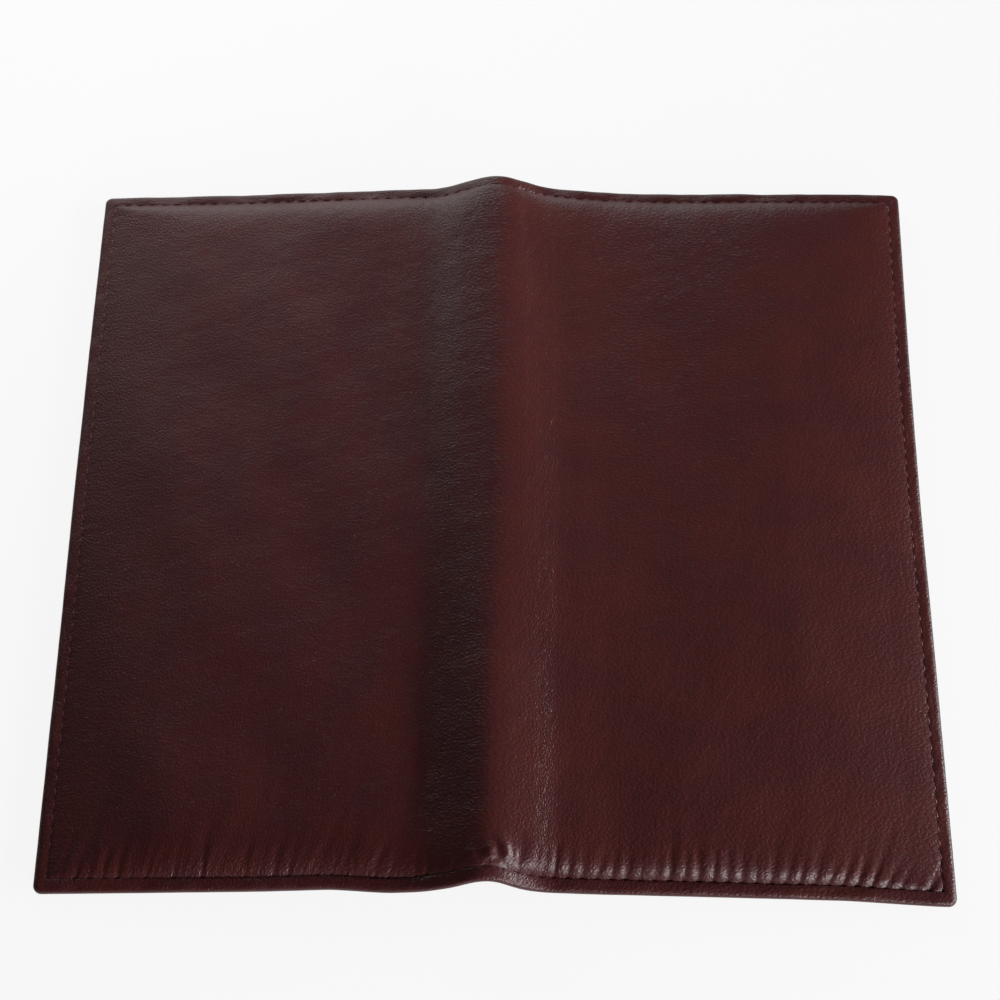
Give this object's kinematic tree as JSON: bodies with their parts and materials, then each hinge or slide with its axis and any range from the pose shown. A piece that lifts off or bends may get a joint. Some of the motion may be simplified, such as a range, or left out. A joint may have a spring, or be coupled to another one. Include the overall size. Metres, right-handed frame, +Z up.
{
  "type": "travel wallet",
  "caption": "Long padded leather travel wallet, open face down, with a raised folding spine, turned stitched edges and inner pockets for tickets, passport, notes and cards.",
  "frame": {"origin": "on the table, under the middle of the open wallet", "axes": "+X from the back panel to the front panel across the open wallet, +Y from tail to head, +Z up from the table"},
  "size_m": [0.2544, 0.23, 0.0168],
  "materials": {
    "outer_leather": "pebbled full-grain leather, semi-matt oxblood",
    "pocket_leather": "smooth split leather, semi-matt oxblood",
    "lining": "dark woven lining cloth, matt",
    "thread": "waxed burgundy sewing thread",
    "padding": "soft wadding, matt",
    "board": "thin bonded leather board, matt"
  },
  "bodies": {
    "back_panel": {"back_cover": "outer_leather", "back_padding": "padding", "back_board": "board", "back_lining": "lining", "ticket_pocket": "pocket_leather", "passport_pocket": "pocket_leather", "passport_pocket_thread": "thread", "back_seam_thread": "thread"},
    "spine_back": {"spine_cover_back": "outer_leather", "spine_lining_back": "lining", "spine_thread_back_tail": "thread", "spine_thread_back_head": "thread"},
    "spine_front": {"spine_cover_front": "outer_leather", "spine_lining_front": "lining", "spine_thread_front_tail": "thread", "spine_thread_front_head": "thread"},
    "front_panel": {"front_cover": "outer_leather", "front_padding": "padding", "front_board": "board", "front_lining": "lining", "note_pocket": "pocket_leather", "card_slot_1": "pocket_leather", "card_slot_2": "pocket_leather", "card_slot_3": "pocket_leather", "card_slot_4": "pocket_leather", "card_slot_5": "pocket_leather", "card_slot_thread": "thread", "front_seam_thread": "thread"}
  },
  "joints": [
    {"name": "back_fold", "type": "hinge", "parent": "back_panel", "child": "spine_back", "pos_m": [-0.01903, 0, 0.00413], "axis": [0, 1, 0], "range_deg": [0, 28.9]},
    {"name": "crest_fold", "type": "hinge", "parent": "spine_back", "child": "spine_front", "pos_m": [-0.00167, 0, 0.01233], "axis": [0, 1, 0], "range_deg": [0, 90]},
    {"name": "front_fold", "type": "hinge", "parent": "spine_front", "child": "front_panel", "pos_m": [0.01154, 0, 0.00441], "axis": [0, 1, 0], "range_deg": [0, 59.5]}
  ],
  "couplings": [
    {"joint": "back_fold", "follows": "crest_fold", "ratio": 0.32},
    {"joint": "front_fold", "follows": "crest_fold", "ratio": 0.66}
  ]
}
